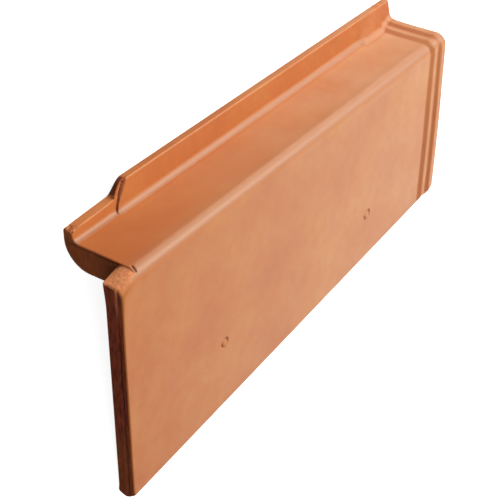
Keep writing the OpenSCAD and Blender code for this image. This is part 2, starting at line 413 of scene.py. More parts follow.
def shoulder_section(x, inset):
    """Section through the flap and its trimmed top."""
    t = x / FLANGE_START
    rolled = ROLL * max(1 - x / ROLL_LEN, 0) ** 2
    rim = np.array((np.interp(x, RIM_X, RIM_Y), np.interp(x, RIM_X, RIM_Z)))
    round_deg = ROUND_END_DEG + (ROUND_ROOT_DEG - ROUND_END_DEG) * t
    round_cos, round_sin = math.cos(math.radians(round_deg)), math.sin(math.radians(round_deg))
    corner_r = (rim[0] - rolled) / (1 - round_cos)
    corner = np.array((rolled + corner_r, rim[1] - corner_r * round_sin))
    inner = INNER_END * (1 - t) + INNER_ROOT * t - (inset, inset)
    handles = HANDLES_END * (1 - t) + HANDLES_ROOT * t - (0, inset)
    start = corner + (corner_r - inset) * np.array((-round_cos, round_sin))
    facet = bezier((start, *handles, inner), SHOULDER_COUNT)
    below = np.array((FLAP_T - inset, -FLANGE_T - INNER_R))
    inner_face = bezier((inner, inner + INNER_FACE_DOWN, below + INNER_FACE_UP, below), INSIDE_COUNT)
    levels = flap_levels(flap_low(x) + EDGE_R, corner[1])
    drawn_in = rolled * np.clip(1 + (levels - corner[1]) / ROLL_FADE, 0, 1) ** 2
    stretches = {
        "flap_face": np.column_stack((inset + drawn_in, levels)),
        "ridge_low": arc(corner, corner_r - inset, 180, 180 - round_deg, COUNTS["ridge_low"]),
        **share_out(facet, SHOULDER_STRETCHES),
        **share_out(inner_face, INSIDE_STRETCHES),
        **flap_stretches(x, inset),
    }
    return {name: stretches[name] for name in COUNTS}


def joined(section):
    """The stretches of a section as one loop of points."""
    return np.concatenate([section[name] for name in COUNTS])


print("points along the trimmed facet:", SHOULDER_COUNT)

# %% [markdown]
# ## Rings along the tile
# Now the sections become rings of 3-D points, in order: the rounded edge of the plain end, the
# shoulder, the rounded edge of the flange's end face, the long run, and the rounded edge of the
# banded end. The long run has close rings at the ramp, the nail marks, the start of the stout foot
# and the bands, and wide ones elsewhere, which keeps the mesh light.

# %% How the edge of the flange's end is rounded
EDGE_SOFT = 1.0
EDGE_TURNS = np.radians(np.linspace(0, 90, 6))
# Next to the shoulder the edge is sharper: shares at the ridge and, some points on, on the flange
EDGE_AT_RIDGE, EDGE_ON_FLANGE, EDGE_GROWS_OVER = 0.25, 0.8, 5
edge = [(EDGE_SOFT * (1 - math.cos(a)), EDGE_SOFT * (1 - math.sin(a))) for a in EDGE_TURNS]
flange_part = np.isin(stretch_of, SHOULDER_STRETCHES + INSIDE_STRETCHES)
edge_share = flange_part.astype(float)
edge_share[stretch_of == "ridge_high"] = np.linspace(0, EDGE_AT_RIDGE, COUNTS["ridge_high"])
edge_share[stretch_of == "flange_top"] = np.interp(
    np.arange(COUNTS["flange_top"]), (0, EDGE_GROWS_OVER), (EDGE_AT_RIDGE, EDGE_ON_FLANGE))
edge_share[stretch_of == "inner_corner"] = np.linspace(1, 0, COUNTS["inner_corner"])
print("sections in a rounded edge:", len(edge))

# %% Rings
MARKS_AT = (106.5, 307.5)
SHOULDER_STEP = 0.6
# Places along the run, each with the step between the rings that follow it
RUN_STOPS = [(FLANGE_START + EDGE_SOFT, 0.4), (25, 5), (56, 0.4), (75, 6), (TILE_LEN - 58.5, 0.7),
             (TILE_LEN - 48, 6), (TILE_LEN - 22.5, 0.45), (TILE_LEN - EDGE_SOFT, 0)]
MARK_STEP, WIDE_STEP = 0.5, 6


def ring(x, loop):
    """A loop of (Y, Z) points set at x."""
    return np.column_stack((np.full(len(loop), float(x)), loop))


def close_places(start, end, step):
    """Places from start to end no further apart than step, with both ends."""
    return np.linspace(start, end, max(2, math.ceil((end - start) / step) + 1))


def flange_end_ring(x, inset):
    """A full ring whose edge is drawn in only round the flange's end face."""
    whole, tight = joined(full_section(x)), joined(full_section(x, inset))
    return ring(x, whole + (tight - whole) * edge_share[:, None])


stops = RUN_STOPS + [(at - MARK_REACH, MARK_STEP) for at in MARKS_AT]
stops = sorted(stops + [(at + MARK_REACH, WIDE_STEP) for at in MARKS_AT])
run_places = np.unique(np.concatenate(
    [close_places(a, b, step) for (a, step), (b, _) in zip(stops, stops[1:])]))
shoulder_places = close_places(EDGE_SOFT, FLANGE_START, SHOULDER_STEP)[1:]
shoulder_rings = [ring(x, joined(shoulder_section(x, inset))) for x, inset in edge]
shoulder_rings += [ring(x, joined(shoulder_section(x, 0))) for x in shoulder_places]
flange_rings = [flange_end_ring(FLANGE_START + x, inset) for x, inset in edge]
flange_rings += [ring(x, joined(full_section(x))) for x in run_places[1:]]
flange_rings += [ring(TILE_LEN - x, joined(full_section(TILE_LEN - x, inset)))
                 for x, inset in edge[-2::-1]]
ROOT = len(shoulder_rings) - 1
rings = np.array(shoulder_rings + flange_rings)
print("rings:", len(rings), "points:", rings.shape[0] * rings.shape[1])

# %% [markdown]
# ## Marks of the making
# Moulds and knives leave traces, and they are what makes a clean loft look like clay. The outer
# skin of the flap stops a little short at the plain end, and the low corner there has sagged. Two
# broken rings show where a nail hole may be knocked through. The banded end is not quite square,
# the knife has torn a notch beside the shoulder and chipped the low rib, and no face is quite
# flat. Each trace moves the points of the rings, so it is real shape and not only shading.

# %% Set the skin back at the flap's end and let the corner sag
SKIN_T = 4.8
SKIN_SETBACK = 0.9
SKIN_FADE = 40.0
SKIN_STEP = 0.5
CORNER_H = 7.0
CORNER_Y, CORNER_BACK = (0, 2, 5.5, 14), (1.6, 0.6, -1.8, -1.2)
SAG = 1.2
SAG_Y, SAG_SHARE = (1, 3.5, 8, 12), (0, 1, 1, 0)
END_REACH = 8.0


def corner_share(z):
    """1 at the flap's lowest corner, falling to 0 a little above it."""
    return np.clip(1 - (z + DROP_PLAIN) / CORNER_H, 0, 1)


def skin_end(y, z):
    """How far the flap's end face lies behind its plane; below zero it stands out."""
    fade = np.clip(1 + (z - INNER_END[1]) / SKIN_FADE, 0, 1)
    corner = corner_share(z) ** 2 * np.interp(y, CORNER_Y, CORNER_BACK)
    return SKIN_SETBACK * fade * (1 - ease((y - SKIN_T) / SKIN_STEP + 0.5)) + corner


X, Y, Z = rings[..., 0], rings[..., 1], rings[..., 2]
near_end = np.clip(1 - X / END_REACH, 0, 1)
X += skin_end(Y, Z) * near_end
Z -= SAG * near_end * corner_share(Z) * np.interp(Y, SAG_Y, SAG_SHARE)
print("the plain end starts at x =", round(float(X.min()), 2), "mm")

# %% Press the nail marks and let the flap's face wave
MARK_DROPS = (116.9, 116.0)
MARK_RADII = (3.4, 3.9)
MARK_GROOVE_W = 1.4
MARK_DEPTH = 0.75
MARK_TURN = math.radians(34)
MARK_FAINT = 0.1
FACE_WAVE, FACE_WAVE_SIZE, FACE_WAVE_SEED = 0.18, 70, 3.0


def wave(points, size, seed):
    """Smooth random values for points in mm, with humps about as wide as size."""
    return np.array([noise.noise(Vector(p) / size + Vector((seed, 0, 0))) for p in points])


on_face = np.broadcast_to(stretch_of == "flap_face", X.shape)
marks = np.zeros(X.shape)
for at, drop, radius in zip(MARKS_AT, MARK_DROPS, MARK_RADII):
    away = np.hypot(X - at, Z + drop)
    round_mark = np.arctan2(Z + drop, X - at)
    pressed = MARK_FAINT + (1 - MARK_FAINT) * np.cos(round_mark - MARK_TURN) ** 2
    marks += on_face * pressed * np.clip(1 - ((away - radius) / MARK_GROOVE_W) ** 2, 0, 1)
Y += MARK_DEPTH * marks
Y[on_face] += FACE_WAVE * wave(rings[on_face], FACE_WAVE_SIZE, FACE_WAVE_SEED)
print("nail marks pressed at x =", MARKS_AT)

# %% Skew the banded end, tear the notch and chip the low rib
END_SKEW = 1.3
SKEW_DEPTH, SKEW_FADE = 90, 20
SKEW_FROM, SKEW_RUN = TILE_LEN - 60, 40
NOTCH_FROM, NOTCH_RUN = np.array((18.9, 7.0)), np.array((-1.0, -3.6))
NOTCH_W, NOTCH_DEPTH = 0.9, 0.9
NICK_DEPTH, NICK_GAIN, NICK_SIZE, NICK_SEED = 0.8, 2.2, 1.7, 7.0
NICKS_TO, NICKS_FADE = 25, 4
skew_here = ease((RIB_FOOT_Y - Y) / SKEW_FADE) * ease((X - SKEW_FROM) / SKEW_RUN)
X -= END_SKEW * np.clip(1 + Z / SKEW_DEPTH, 0, 1) * skew_here
ring_number = np.arange(len(rings))[:, None]
notch_x, notch_y = X - NOTCH_FROM[0], Y - NOTCH_FROM[1]
notch_share = (notch_x * NOTCH_RUN[0] + notch_y * NOTCH_RUN[1]) / NOTCH_RUN.dot(NOTCH_RUN)
notch_share = np.clip(notch_share, 0, 1)
notch_away = np.hypot(notch_x - notch_share * NOTCH_RUN[0], notch_y - notch_share * NOTCH_RUN[1])
on_top = np.isin(stretch_of, ("ridge_high", "flange_top")) & (ring_number > ROOT + 1)
notch = on_top * np.clip(1 - (notch_away / NOTCH_W) ** 2, 0, 1)
Z -= NOTCH_DEPTH * notch
rib_crest = np.isin(stretch_of, ("rib_front_edge", "rib_top", "rib_back_edge")) & (ring_number > ROOT)
nicks = np.zeros(X.shape)
nicks[rib_crest] = np.clip(NICK_GAIN * wave(rings[rib_crest], NICK_SIZE, NICK_SEED), 0, 1)
nicks *= ease((NICKS_TO - X) / NICKS_FADE)
Z -= NICK_DEPTH * nicks
print("points in the notch:", int(np.sum(notch > 0)), "and in the nicks:", int(np.sum(nicks > 0)))

# %% [markdown]
# ## End faces
# Three faces were cut with a wire or a knife: the flap's plain end, the end of the flange and the
# banded end. A cut face is flat but rough, and the flap's end shows a seam where the clay was
# folded in the mould. Each is filled by Blender's own constrained triangulation over a fine grid
# of points, and a relief function moves those points in or out.

# %% Fill an outline with triangles
GRID_GAP_SHARE = 0.45
MERGE_MM = 1e-5
TINY = 1e-9


def inside(points, loop):
    """Which points lie inside a closed loop."""
    x, y = points[:, :1], points[:, 1:]
    ax, ay = loop[:, 0], loop[:, 1]
    bx, by = np.roll(ax, -1), np.roll(ay, -1)
    rise = np.where(by == ay, TINY, by - ay)
    crosses = ((ay > y) != (by > y)) & (x < ax + (y - ay) * (bx - ax) / rise)
    return crosses.sum(axis=1) % 2 == 1


def clear_of(points, loop, gap):
    """Which points keep a gap to every point of the loop."""
    return np.array([np.min(np.sum((loop - p) ** 2, axis=1)) > gap * gap for p in points])


def fill(loop, step_y, step_z):
    """Grid points inside a loop and the triangles over loop and grid."""
    ys = np.arange(loop[:, 0].min() + step_y / 2, loop[:, 0].max(), step_y)
    zs = np.arange(loop[:, 1].min() + step_z / 2, loop[:, 1].max(), step_z)
    grid = np.array([(y + step_y / 2 * (i % 2), z) for i, z in enumerate(zs) for y in ys])
    grid = grid[inside(grid, loop)]
    grid = grid[clear_of(grid, loop, GRID_GAP_SHARE * min(step_y, step_z))]
    edges = [(i, (i + 1) % len(loop)) for i in range(len(loop))]
    _, _, faces, origin, _, _ = delaunay_2d_cdt(
        [Vector(p) for p in np.concatenate((loop, grid))], edges, [], 1, MERGE_MM)
    return grid, [[origin[v][0] for v in face] for face in faces]


trial = np.array(((0, 0), (10, 0), (10, 10), (0, 10)), float)
print("a 10 mm square, as a trial, fills with", len(fill(trial, 2.5, 2.5)[1]), "triangles")

# %% Quads along the rings
ids = np.arange(rings.shape[0] * AROUND).reshape(rings.shape[:2])
first_of = {name: int(np.argmax(stretch_of == name)) for name in COUNTS}
wall_from, wall_to = first_of["ridge_high"], first_of["flap_back"]
shared = np.ones(AROUND, bool)
shared[wall_from + 1:wall_to] = False
ids[ROOT + 1, shared] = ids[ROOT, shared]
wall_ids = np.concatenate((ids[ROOT + 1, wall_from:wall_to + 1], ids[ROOT, wall_to - 1:wall_from:-1]))
faces = []
for k in range(len(rings) - 1):
    if k != ROOT:
        a, b = ids[k], ids[k + 1]
        faces += np.column_stack((a, b, np.roll(b, -1), np.roll(a, -1))).tolist()
print("quads:", len(faces))

# %% Relief of the three end faces
SEAM_DEPTH = 2.4
SEAM_W = 0.7
SEAM_Y = 4.7
# How far the seam wanders, over what length, and the noise's row
SEAM_WANDERS = ((0.5, 22, 2.7), (0.22, 5, 8.1))
SEAM_TOP, SEAM_FADE = -20, 25
LIP_DROP = 1.9
LIP_Y, LIP_W = (14, 50), (0.95, 0.55)
LIP_FROM, LIP_FADE = 9, 4
LIP_STRONG_Y, LIP_STRONG = (12, 50), (1, 0.5)
LIP_DEPTH = 1.8
STREAK_SHARE = 5
BANDED_SETBACK = 0.3
# Depth and size of each cut's roughness, and the noise's row
PLAIN_ROUGH, FLANGE_ROUGH, BANDED_ROUGH = (0.35, 1.5, 1.0), (0.3, 3.0, 5.0), (0.25, 2.6, 9.0)


def seam_share(y, z):
    """1 in the middle of the flap's seam, 0 away from it; it closes towards the flap's top."""
    seam = np.array([SEAM_Y + sum(by * noise.noise((v / over, row, 0)) for by, over, row in SEAM_WANDERS)
                     for v in z])
    return np.exp(-((y - seam) / SEAM_W) ** 2) * ease((SEAM_TOP - z) / SEAM_FADE)


def lip_share(y, z):
    """1 in the middle of the crevice under the lip of the flange's top, 0 away from it."""
    width = np.interp(y, LIP_Y, LIP_W)
    strong = ease((y - LIP_FROM) / LIP_FADE) * np.interp(y, LIP_STRONG_Y, LIP_STRONG)
    return np.exp(-((z + LIP_DROP) / width) ** 2) * strong


def rough(y, z, depth, size, seed):
    """How deep the roughness of a cut goes at each point."""
    return depth * wave(np.column_stack((y, z, 0 * y)), size, seed)


def plain_relief(y, z):
    """The flap's end: set-back skin, seam and the long streaks of the cut."""
    return skin_end(y, z) + SEAM_DEPTH * seam_share(y, z) + rough(y, z / STREAK_SHARE, *PLAIN_ROUGH)


def flange_relief(y, z):
    """The flange's end: a crevice under its lip, deeper towards the flap, and a rough cut."""
    return FLANGE_START + LIP_DEPTH * lip_share(y, z) + rough(y, z, *FLANGE_ROUGH)


def banded_relief(y, z):
    """The banded end: a plain rough cut."""
    return TILE_LEN - BANDED_SETBACK + rough(y, z, *BANDED_ROUGH)


print("seam is", SEAM_DEPTH, "mm deep, the crevice under the lip", LIP_DEPTH, "mm")

# %% Fill the three end faces
ring_points = rings.reshape(-1, 3)
points = [ring_points]
made = len(ring_points)
cap_sizes = {}
for name, loop_ids, relief, steps, flip in (
        ("plain end", ids[0], plain_relief, (0.55, 1.1), True),
        ("flange end", wall_ids, flange_relief, (0.8, 0.8), True),
        ("banded end", ids[-1], banded_relief, (1.5, 1.5), False)):
    grid, triangles = fill(ring_points[loop_ids][:, 1:], *steps)
    y, z = grid[:, 0], grid[:, 1]
    points.append(np.column_stack((relief(y, z), y, z)))
    lookup = np.concatenate((loop_ids, np.arange(made, made + len(grid))))
    faces += [lookup[face[::-1] if flip else face].tolist() for face in triangles]
    made += len(grid)
    cap_sizes[name] = len(grid)
    print(name, "has", len(triangles), "triangles")
points = np.concatenate(points)

# %% [markdown]
# ## The mesh
# All points go through `place` into the lying frame, and the new piece stands for the packed
# tile, which is hidden: it rides on the root body. Each point keeps its place on
# the hanging tile as an attribute in millimetres, so that the material's patterns can be given in
# real sizes. Weighted normals keep the flat faces flat next to their rounded edges.

# %% Build the tile
used = np.unique(np.concatenate([np.array(face) for face in faces]))
renumber = np.full(len(points), -1)
renumber[used] = np.arange(len(used))
tile_mm = points[used]
mesh = bpy.data.meshes.new("verge_tile_clay")
mesh.from_pydata(place(tile_mm).tolist(), [], [[int(renumber[v]) for v in face] for face in faces])
mesh.validate()
mesh.attributes.new("tile_mm", "FLOAT_VECTOR", "POINT").data.foreach_set("vector", tile_mm.ravel())
tile = bpy.data.objects.new("verge_tile_clay", mesh)
bpy.context.scene.collection.objects.link(tile)
mesh.polygons.foreach_set("use_smooth", np.ones(len(mesh.polygons), bool))
normals = tile.modifiers.new("flat faces stay flat", "WEIGHTED_NORMAL")
normals.weight = 100
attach(tile, "root")
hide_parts("verge_tile")
print("tile mesh:", len(mesh.vertices), "points,", len(mesh.polygons), "faces")

# %% [markdown]
# ## Where each finish and each painted light lies
# It is all one clay, but not one finish: the knife left cut faces and a pale trimmed facet, and
# the mould burnished the ridge and the hollow at the rib's foot. Light and shade are painted in too:
# the cut faces are darker, partly their own colour and partly painted shade; painted shade lies in
# the seams, crevices, nail marks and on the rib's ramp and front; a painted sheen lies on the skin,
# a painted highlight tint on the ridge and hollow, a redder tone for bounced light on the flange and
# rib, and painted light on the rim, ledge and band risers. Masks painted by hand would not survive a
# change of shape, so each one is worked out from the stretch and the ring that a point belongs to,
# and is kept as an attribute of the mesh.

# %% Helpers for the masks
plain_yz, flange_yz, banded_yz = np.split(points[ids.size:, 1:], np.cumsum(list(cap_sizes.values()))[:-1])


def with_ends(on_rings, plain=0.0, flange=0.0, banded=0.0):
    """A value for every point: those of the rings, then those inside the three end faces."""
    ends = zip((plain, flange, banded), cap_sizes.values())
    return np.concatenate([np.ravel(on_rings)] + [np.broadcast_to(value, size) for value, size in ends])


def by_stretch(shares, others=0.0):
    """A value for each point round a section, taken from the stretch that it lies in."""
    return np.array([shares.get(name, others) for name in stretch_of])


def store(name, values):
    """Keep one number for each point of the mesh."""
    mesh.attributes.new(name, "FLOAT", "POINT").data.foreach_set("value", np.asarray(values, float)[used])
    print("mask", name, "is over one half on", int(np.sum(values[used] > 0.5)), "points")


print("points inside the end faces:", len(plain_yz), len(flange_yz), len(banded_yz))

# %% Cut clay, partly painted shade, and painted shade in the same dark tone
# Cut faces: partly a darker fired colour, partly painted shade, as they face away from the light
CUT_AND_SHADE = {"plain end": 1.0, "flange end": 0.6, "banded end": 0.5}
# The flap's end is paler low down, and the crevice under the flange's lip gets painted shade
PALER_LOW, PALER_FROM, PALER_RUN = 0.2, -110, 40
LIP_SHADE = 0.4
RAMP_FROM, RAMP_TO, RAMP_FADE = 59.5, 73, 1.5
STEP_AREA_FROM = 50
# The shadow line in the rib's step: its half width at the foot, its growth, and where that starts
SHADE_W, SHADE_GROWS, SHADE_FROM, SHADE_RUN = 0.6, 0.5, 6, 6
SHADE_BOTTOM, SHADE_FADE = 0.5, 2
# Painted shade: the rib's front and the upper half of its foot are painted darker, more so towards the
# banded end and on the stout foot
FRONT_DARK, FRONT_DARKER, STOUT_DARKER, STOUT_SOFT, FOOT_DARK_FROM = 0.06, 0.14, 0.12, 8, -1.2
# Painted shade on the rib's ramp, which faces away from the light, and in the grooves of the nail marks;
# the notch and the nicks are torn clay
RAMP_SHADE, NOTCH_DARK, NICKS_DARK, MARKS_SHADE = 0.8, 0.65, 0.7, 0.6
ramp = rib_crest * ease((X - RAMP_FROM) / RAMP_FADE) * ease((RAMP_TO - X) / RAMP_FADE)
step_area = np.isin(stretch_of, ("foot", "rib_front")) & (X > STEP_AREA_FROM)
shade_w = SHADE_W + SHADE_GROWS * ease((Z - SHADE_FROM) / SHADE_RUN)
step_shade = step_area * np.exp(-((X - np.interp(Z, *RIB_STEP)) / shade_w) ** 2)
step_shade *= ease((Z - SHADE_BOTTOM) / SHADE_FADE)
front_share = by_stretch({"rib_front": 1.0})
front_share[stretch_of == "foot"] = np.clip(np.linspace(FOOT_DARK_FROM, 1, COUNTS["foot"]), 0, 1)
on_stout = (stretch_of == "foot") * ease((X - STOUT_FROM) / STOUT_SOFT)
front_painted_shade = front_share * (FRONT_DARK + FRONT_DARKER * X / TILE_LEN + STOUT_DARKER * on_stout)
end_rings = np.zeros(ids.shape)
end_rings[0], end_rings[-1] = CUT_AND_SHADE["plain end"], CUT_AND_SHADE["banded end"]
end_rings[ROOT + 1] = CUT_AND_SHADE["flange end"] * edge_share * flange_part
ring_cut_and_shade = np.maximum.reduce((end_rings, step_shade, front_painted_shade, RAMP_SHADE * ramp, NOTCH_DARK * notch,
                              NICKS_DARK * nicks, MARKS_SHADE * marks))
plain_cut_and_shade = CUT_AND_SHADE["plain end"] - PALER_LOW * ease((PALER_FROM - plain_yz[:, 1]) / PALER_RUN)
flange_cut_and_shade = CUT_AND_SHADE["flange end"] + LIP_SHADE * lip_share(*flange_yz.T)
cut_and_shade_mask = with_ends(ring_cut_and_shade, plain_cut_and_shade, flange_cut_and_shade, CUT_AND_SHADE["banded end"])
store("cut", cut_and_shade_mask)

# %% Trimmed clay, and painted light on the facet's rim, the band risers and the ledge
CREST_TRIMMED, CREST_TO = 0.1, 60
# Painted highlight along the rounded rim of the trimmed facet, where the ridge's highlight runs down
RIM_PAINTED_HIGHLIGHT, RIM_FROM, RIM_RUN, RIM_EDGE = 0.9, 5, 11, -0.3
# Painted light on the band risers, which face away from the light
RISER_PROBE, RISER_STEEP, RISER_PAINTED_LIGHT = 0.3, 0.7, 0.2
# Painted light: a pale line on the ledge where the set-back skin meets the rest of the flap's end
LEDGE_Y, LEDGE_W, LEDGE_PAINTED_LIGHT = SKIN_T + 0.2, 0.8, 0.8
LEDGE_TOP, LEDGE_FADE, LEDGE_TO = -6, 30, 5
band_slope = [band_height(x + RISER_PROBE) - band_height(x - RISER_PROBE) for x in rings[:, 0, 0]]
riser = np.clip(np.array(band_slope) / (2 * RISER_PROBE) / RISER_STEEP, 0, 1)[:, None]
on_riser = riser * np.isin(stretch_of, ("flap_face", "ridge_low", "ridge_high", "flange_top"))
trimmed = np.zeros(ids.shape)
trimmed[1:ROOT + 1] = np.isin(stretch_of, SHOULDER_STRETCHES)
trimmed += CREST_TRIMMED * (rib_crest & (X < CREST_TO))
rim_along = 1 - ease((X[:ROOT + 1, 0] - RIM_FROM) / RIM_RUN)
rim_across = ease(np.linspace(RIM_EDGE, 1, COUNTS["ridge_low"]))
trimmed[:ROOT + 1, stretch_of == "ridge_low"] = RIM_PAINTED_HIGHLIGHT * np.outer(rim_along, rim_across)
ledge = np.exp(-((points[:, 1] - LEDGE_Y) / LEDGE_W) ** 2) * (points[:, 0] < LEDGE_TO) * cut_and_shade_mask
ledge *= np.clip(1 + (points[:, 2] - LEDGE_TOP) / LEDGE_FADE, 0, 1)
# The trimmed mask holds the open clay of the facet and the painted light of rim, risers and ledge
store("trimmed", with_ends(np.maximum(trimmed, RISER_PAINTED_LIGHT * on_riser)) + LEDGE_PAINTED_LIGHT * ledge)

# %% Painted sheen, and burnish with a painted highlight tint, on the pressed skin
# Painted sheen: shares of a pale tone on each stretch, for the shine at a low angle
PAINTED_SHEEN = {"flap_face": 0.5, "ridge_low": 0.75, "ridge_high": 1.0, "flange_top": 1.25, "foot": 0.6,
         "rib_front": 0.0, "rib_top": 0.8}
PAINTED_SHEEN_ELSEWHERE = 0.1
# Burnish and painted highlight tint at the first and the last point of a stretch, before it is eased
BURNISH_AND_HIGHLIGHT = {"ridge_low": (-0.2, 1), "ridge_high": (1, 0.35), "flange_top": (0.35, -1.2)}
HOLLOW_BURNISH = 1.3
BURNISH_FROM, BURNISH_RUN = 2, 9
STOUT_DULLER, STOUT_EARLY = 0.5, 4
skin = (1 - np.clip(trimmed, 0, 1)) * (1 - riser)
store("painted_sheen", with_ends(by_stretch(PAINTED_SHEEN, PAINTED_SHEEN_ELSEWHERE) * skin))
burnish_and_highlight = np.zeros(AROUND)
for name, (first, last) in BURNISH_AND_HIGHLIGHT.items():
    burnish_and_highlight[stretch_of == name] = ease(np.linspace(first, last, COUNTS[name]))
across_hollow = np.linspace(-HOLLOW_BURNISH, HOLLOW_BURNISH, COUNTS["foot"])
burnish_and_highlight[stretch_of == "foot"] = ease(HOLLOW_BURNISH - np.abs(across_hollow))
burnish_and_highlight = burnish_and_highlight * skin * ease((X - BURNISH_FROM) / BURNISH_RUN)
burnish_and_highlight *= 1 - STOUT_DULLER * (stretch_of == "foot") * ease((X - STOUT_FROM + STOUT_EARLY) / STOUT_SOFT)
store("burnish_and_highlight", with_ends(burnish_and_highlight))

# %% Painted shade in seams and crevices, and a redder tone painted for bounced light
# Painted shade deep in the rib's step crevice, the notch, the plain end's seam and the crevice under the
# flange's lip
STEP_DEEP, STEP_DEEP_FROM, STEP_DEEP_RUN = 0.6, 4, 6
NOTCH_DEEP, SEAM_DEEP = 0.25, 0.8
# Painted light: a redder tone on the flange and rib for the light bounced between them, and on the band
# risers, which face away from the light
REDDER_BOUNCE = {"flange_top": 0.32, "foot": 0.15, "rib_front": 0.08, "rib_front_edge": 0.15, "rib_top": 0.2}
REDDER_BLUR = 9
RISER_PAINTED_RED = 0.4
step_deep_shade = STEP_DEEP * step_shade * ease((Z - STEP_DEEP_FROM) / STEP_DEEP_RUN)
ring_deep_shade = np.maximum(step_deep_shade, NOTCH_DEEP * notch)
store("deep", with_ends(ring_deep_shade, SEAM_DEEP * seam_share(*plain_yz.T), lip_share(*flange_yz.T)))
redder_bounce = by_stretch(REDDER_BOUNCE)
redder_bounce = np.mean([np.roll(redder_bounce, k - REDDER_BLUR // 2) for k in range(REDDER_BLUR)], axis=0)
store("redder_bounce", with_ends(np.maximum(redder_bounce, RISER_PAINTED_RED * on_riser)))

# %% [markdown]
# ## Pressed and fired clay
# The tile has no glaze and no paint. Fired clay is matt, but pressing leaves a fine dense skin that
# shines a little at a low angle, most of all where the mould slid along the ridge and the hollow.
# The orange wanders softly between a redder and a yellower tone, fine grit shows as specks, and the
# cut faces are darker. Light and shade are painted into the colour as well: a redder tone on the
# flange and rib for the light bounced between them, a pale painted sheen towards the far end, a
# painted highlight tint on the ridge and hollow, and painted shade on the cut faces and in the
# seams and crevices, which are painted nearly black. All of it is made with noise at real sizes and
# the masks, so that it needs no image and fits the tile from every side.

# %% Colours and nodes
def linear(hex_colour):
    """An sRGB hex colour as linear RGBA."""
    parts = [int(hex_colour[i:i + 2], 16) / 255 for i in (1, 3, 5)]
    return [c / 12.92 if c <= 0.04045 else ((c + 0.055) / 1.055) ** 2.4 for c in parts] + [1]


def add(tree, kind, inputs=None, **settings):
    """Add a node with its settings; sockets given as inputs are linked, values are set."""
    node = tree.nodes.new(kind)
    for name, value in settings.items():
        setattr(node, name, value)
    for key, value in (inputs or {}).items():
        if isinstance(value, bpy.types.NodeSocket):
            tree.links.new(value, node.inputs[key])
        else:
            node.inputs[key].default_value = value
    return node


def new_material(name):
    """An empty node material and its output node."""
    material = bpy.data.materials.new(name)
    material.use_nodes = True
    material.node_tree.nodes.clear()
    return material, add(material.node_tree, "ShaderNodeOutputMaterial")


print("middle grey #808080 is linear", round(linear("#808080")[0], 3))

# %% Clay, its patterns at real sizes
# Pressed and fired clay looks matt and warm, with a soft shine at a low angle
clay, clay_out = new_material("pressed fired clay")
tree = clay.node_tree
at_mm = add(tree, "ShaderNodeAttribute", attribute_name="tile_mm").outputs["Vector"]
masks = {name: add(tree, "ShaderNodeAttribute", attribute_name=name).outputs["Fac"]
         for name in ("cut", "trimmed", "painted_sheen", "burnish_and_highlight", "deep", "redder_bounce")}
# Soft clouds of the firing, a hand's width apart
CLOUD_MM = 70
clouds = add(tree, "ShaderNodeTexNoise",
             {"Vector": at_mm, "Scale": 1 / CLOUD_MM, "Detail": 4.0, "Roughness": 0.55}).outputs["Fac"]
cloud_share = add(tree, "ShaderNodeMapRange",
                  {"Value": clouds, 1: 0.25, 2: 0.75, 3: 0.0, 4: 1.0}).outputs[0]
# Blotches of about a centimetre, where the clay was a little wetter or drier
BLOTCH_MM = 11
blotch = add(tree, "ShaderNodeTexNoise",
             {"Vector": at_mm, "Scale": 1 / BLOTCH_MM, "Detail": 3.0, "Roughness": 0.6}).outputs["Fac"]
blotch_share = add(tree, "ShaderNodeMapRange",
                   {"Value": blotch, 1: 0.35, 2: 0.75, 3: 0.0, 4: 0.35}).outputs[0]
# Patches in the painted sheen, which grows towards the banded end
HAZE_MM = 38
haze = add(tree, "ShaderNodeTexNoise",
           {"Vector": at_mm, "Scale": 1 / HAZE_MM, "Detail": 3.0}).outputs["Fac"]
haze_share = add(tree, "ShaderNodeMapRange", {"Value": haze, 1: 0.3, 2: 0.7, 3: 0.6, 4: 1.3}).outputs[0]
along = add(tree, "ShaderNodeSeparateXYZ", {0: at_mm}).outputs["X"]
grows = add(tree, "ShaderNodeMapRange", {"Value": along, 1: 0.0, 2: TILE_LEN, 3: 0.0, 4: 0.42}).outputs[0]
painted_sheen_share = add(tree, "ShaderNodeMath", {0: grows, 1: masks["painted_sheen"]}, operation="MULTIPLY").outputs[0]
painted_sheen_share = add(tree, "ShaderNodeMath", {0: painted_sheen_share, 1: haze_share}, operation="MULTIPLY").outputs[0]
# Torn clay on the cut faces, in streaks five times as long as they are wide
TORN_MM = 2.0
streaks = add(tree, "ShaderNodeMapping", {"Vector": at_mm, "Scale": (1, 1, 1 / STREAK_SHARE)}).outputs[0]
torn_clay = add(tree, "ShaderNodeTexNoise",
                {"Vector": streaks, "Scale": 1 / TORN_MM, "Detail": 4.0, "Roughness": 0.7}).outputs["Fac"]
torn_share = add(tree, "ShaderNodeMapRange",
                 {"Value": torn_clay, 1: 0.35, 2: 0.68, 3: 0.0, 4: 1.0}).outputs[0]
# Real grit is finer, about a quarter of a millimetre; it is drawn coarser, so that it shows
GRIT_MM = 0.9
grit = add(tree, "ShaderNodeTexNoise",
           {"Vector": at_mm, "Scale": 1 / GRIT_MM, "Detail": 2.0, "Roughness": 0.5}).outputs["Fac"]
speck_share = add(tree, "ShaderNodeMapRange", {"Value": grit, 1: 0.62, 2: 0.8, 3: 0.0, 4: 0.35}).outputs[0]
print("clay patterns of", CLOUD_MM, HAZE_MM, BLOTCH_MM, TORN_MM, "and", GRIT_MM, "mm")

# %% Clay, its tones from the ground up
# Three pairs of tones: the skin's redder and yellower firing, the dark cut clay that also paints shade, and
# the pale open clay that also paints light
skin_tone, cut_and_shade_tone, open_and_lit_tone = (
    add(tree, "ShaderNodeMix", {0: share, 6: linear(first), 7: linear(second)}, data_type="RGBA").outputs[2]
    for share, first, second in ((cloud_share, "#BD6227", "#CE8139"), (torn_share, "#61180C", "#AE482A"),
                                 (torn_share, "#E17C48", "#F9A872")))
